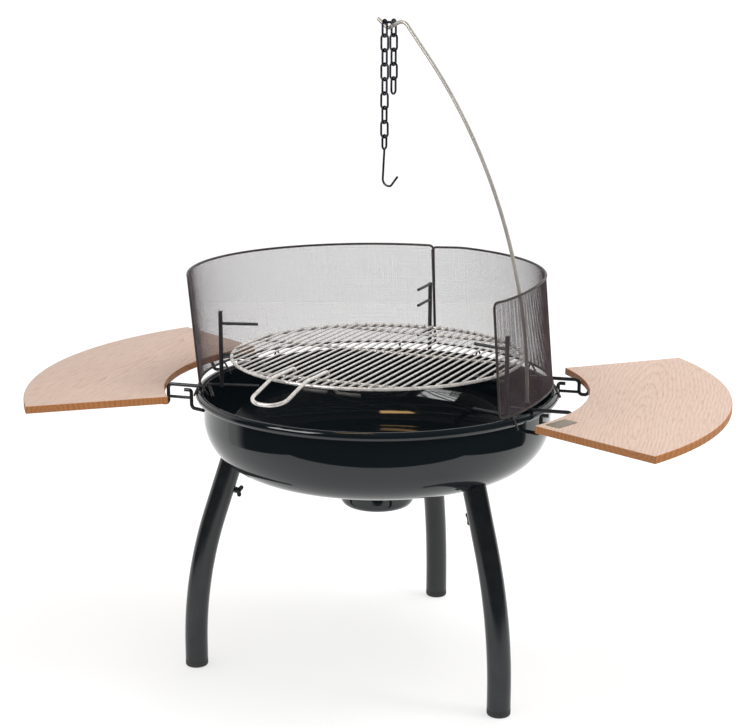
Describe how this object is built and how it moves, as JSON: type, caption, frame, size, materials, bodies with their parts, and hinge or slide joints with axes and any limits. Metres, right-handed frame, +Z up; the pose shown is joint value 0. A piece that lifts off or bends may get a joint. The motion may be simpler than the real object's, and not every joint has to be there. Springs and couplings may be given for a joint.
{
  "type": "charcoal fire bowl grill",
  "caption": "Round black enamelled charcoal grill on curved tube legs, with mesh windscreens, a lift-out cooking grid, wooden side tables and a bent swivelling arm with a chain and pot hook.",
  "frame": {"origin": "on the floor, on the vertical axis of the round bowl", "axes": "+Z up; -Y is the open front between the windscreen panels; +X to the right when looking at the front, along the side tables"},
  "size_m": [1.1456, 0.8851, 1.0734],
  "materials": {
    "enamel": "glossy black enamel on steel sheet",
    "leg_paint": "satin black powder coat",
    "foot_cap": "moulded black cap",
    "wing_screw": "blackened steel",
    "screen_mesh": "fine wire mesh",
    "screen_wire": "dull steel wire",
    "post_steel": "dark grey coating on steel rod",
    "grid_steel": "bright plated steel wire",
    "zinc_screw": "zinc plated",
    "table_wood": "light oak with a clear matt coat",
    "bracket_wire": "black coating on steel rod",
    "blank_plate": "dull plain plate",
    "arm_steel": "plain stainless rod",
    "chain_steel": "blackened steel"
  },
  "bodies": {
    "frame": {"bowl": "enamel", "vent_collar": "enamel", "leg_stub_left": "leg_paint", "leg_stub_right": "leg_paint", "leg_stub_rear": "leg_paint", "leg_left": "leg_paint", "leg_right": "leg_paint", "leg_rear": "leg_paint", "foot_left": "foot_cap", "foot_right": "foot_cap", "foot_rear": "foot_cap", "grid_post_left": "post_steel", "grid_post_right": "post_steel", "grid_post_rear": "post_steel", "table_left": "table_wood", "table_right": "table_wood", "hook_left_front": "bracket_wire", "hook_left_rear": "bracket_wire", "hook_right_front": "bracket_wire", "hook_right_rear": "bracket_wire", "table_screws_left": "zinc_screw", "table_screws_right": "zinc_screw", "blank_plate": "blank_plate", "arm_socket": "enamel"},
    "ash_cup": {"ash_cup": "enamel"},
    "wing_screw_left": {"wing_screw_left": "wing_screw"},
    "wing_screw_right": {"wing_screw_right": "wing_screw"},
    "wing_screw_rear": {"wing_screw_rear": "wing_screw"},
    "screen_left": {"screen_mesh_left": "screen_mesh", "screen_frame_left": "screen_wire"},
    "screen_right": {"screen_mesh_right": "screen_mesh", "screen_frame_right": "screen_wire"},
    "grid": {"cooking_grid": "grid_steel", "grid_handle": "grid_steel"},
    "arm": {"arm_rod": "arm_steel"},
    "chain_saddle": {"chain_saddle": "chain_steel"},
    "chain_long_1": {"chain_long_1": "chain_steel"},
    "chain_long_2": {"chain_long_2": "chain_steel"},
    "chain_long_3": {"chain_long_3": "chain_steel"},
    "chain_long_4": {"chain_long_4": "chain_steel"},
    "chain_long_5": {"chain_long_5": "chain_steel"},
    "chain_long_6": {"chain_long_6": "chain_steel"},
    "chain_long_7": {"chain_long_7": "chain_steel"},
    "chain_long_8": {"chain_long_8": "chain_steel"},
    "chain_short_1": {"chain_short_1": "chain_steel"},
    "chain_short_2": {"chain_short_2": "chain_steel"},
    "chain_short_3": {"chain_short_3": "chain_steel"},
    "chain_short_4": {"chain_short_4": "chain_steel"},
    "chain_short_5": {"chain_short_5": "chain_steel"},
    "pot_hook": {"pot_hook": "chain_steel"}
  },
  "joints": [
    {"name": "ash_cup_drop", "type": "slide", "parent": "frame", "child": "ash_cup", "axis": [0, 0, -1], "range_m": [0, 0.03]},
    {"name": "wing_screw_left_turn", "type": "hinge", "parent": "frame", "child": "wing_screw_left", "pos_m": [-0.25466, -0.03897, 0.31225], "axis": [0.9401, 0.1439, -0.309], "range_deg": [0, 360]},
    {"name": "wing_screw_right_turn", "type": "hinge", "parent": "frame", "child": "wing_screw_right", "pos_m": [0.16108, -0.20106, 0.31225], "axis": [-0.5946, 0.7422, -0.309], "range_deg": [0, 360]},
    {"name": "wing_screw_rear_turn", "type": "hinge", "parent": "frame", "child": "wing_screw_rear", "pos_m": [0.09358, 0.24002, 0.31225], "axis": [-0.3455, -0.8861, -0.309], "range_deg": [0, 360]},
    {"name": "screen_left_lift", "type": "slide", "parent": "frame", "child": "screen_left", "axis": [0, 0, 1], "range_m": [0, 0.06]},
    {"name": "screen_right_lift", "type": "slide", "parent": "frame", "child": "screen_right", "axis": [0, 0, 1], "range_m": [0, 0.06]},
    {"name": "grid_lift", "type": "slide", "parent": "frame", "child": "grid", "axis": [0, 0, 1], "range_m": [0, 0.035]},
    {"name": "arm_swivel", "type": "hinge", "parent": "frame", "child": "arm", "pos_m": [0.23424, -0.15212, 0.458], "axis": [0, 0, 1], "range_deg": [-70, 70]},
    {"name": "chain_lift", "type": "slide", "parent": "arm", "child": "chain_saddle", "axis": [0, 0, 1], "range_m": [0, 0.02]},
    {"name": "chain_long_1_swing", "type": "hinge", "parent": "chain_saddle", "child": "chain_long_1", "pos_m": [0.01035, -0.02234, 1.0657], "axis": [0.8387, -0.5446, 0], "range_deg": [-25, 0]},
    {"name": "chain_long_2_swing", "type": "hinge", "parent": "chain_long_1", "child": "chain_long_2", "pos_m": [0.01035, -0.02234, 1.0433], "axis": [0.5446, 0.8387, 0], "range_deg": [-12, 12]},
    {"name": "chain_long_3_swing", "type": "hinge", "parent": "chain_long_2", "child": "chain_long_3", "pos_m": [0.01035, -0.02234, 1.0209], "axis": [0.8387, -0.5446, 0], "range_deg": [-12, 0]},
    {"name": "chain_long_4_swing", "type": "hinge", "parent": "chain_long_3", "child": "chain_long_4", "pos_m": [0.01035, -0.02234, 0.9985], "axis": [0.5446, 0.8387, 0], "range_deg": [-12, 12]},
    {"name": "chain_long_5_swing", "type": "hinge", "parent": "chain_long_4", "child": "chain_long_5", "pos_m": [0.01035, -0.02234, 0.9761], "axis": [0.8387, -0.5446, 0], "range_deg": [-12, 0]},
    {"name": "chain_long_6_swing", "type": "hinge", "parent": "chain_long_5", "child": "chain_long_6", "pos_m": [0.01035, -0.02234, 0.9537], "axis": [0.5446, 0.8387, 0], "range_deg": [-12, 12]},
    {"name": "chain_long_7_swing", "type": "hinge", "parent": "chain_long_6", "child": "chain_long_7", "pos_m": [0.01035, -0.02234, 0.9313], "axis": [0.8387, -0.5446, 0], "range_deg": [-12, 0]},
    {"name": "chain_long_8_swing", "type": "hinge", "parent": "chain_long_7", "child": "chain_long_8", "pos_m": [0.01035, -0.02234, 0.9089], "axis": [0.5446, 0.8387, 0], "range_deg": [-12, 12]},
    {"name": "pot_hook_swing", "type": "hinge", "parent": "chain_long_8", "child": "pot_hook", "pos_m": [0.01035, -0.02234, 0.8865], "axis": [0.8387, -0.5446, 0], "range_deg": [-25, 25]},
    {"name": "chain_short_1_swing", "type": "hinge", "parent": "chain_saddle", "child": "chain_short_1", "pos_m": [0.02462, -0.00037, 1.0657], "axis": [0.8387, -0.5446, 0], "range_deg": [0, 25]},
    {"name": "chain_short_2_swing", "type": "hinge", "parent": "chain_short_1", "child": "chain_short_2", "pos_m": [0.02462, -0.00037, 1.0433], "axis": [0.5446, 0.8387, 0], "range_deg": [-12, 12]},
    {"name": "chain_short_3_swing", "type": "hinge", "parent": "chain_short_2", "child": "chain_short_3", "pos_m": [0.02462, -0.00037, 1.0209], "axis": [0.8387, -0.5446, 0], "range_deg": [0, 12]},
    {"name": "chain_short_4_swing", "type": "hinge", "parent": "chain_short_3", "child": "chain_short_4", "pos_m": [0.02462, -0.00037, 0.9985], "axis": [0.5446, 0.8387, 0], "range_deg": [-12, 12]},
    {"name": "chain_short_5_swing", "type": "hinge", "parent": "chain_short_4", "child": "chain_short_5", "pos_m": [0.02462, -0.00037, 0.9761], "axis": [0.8387, -0.5446, 0], "range_deg": [0, 12]}
  ]
}
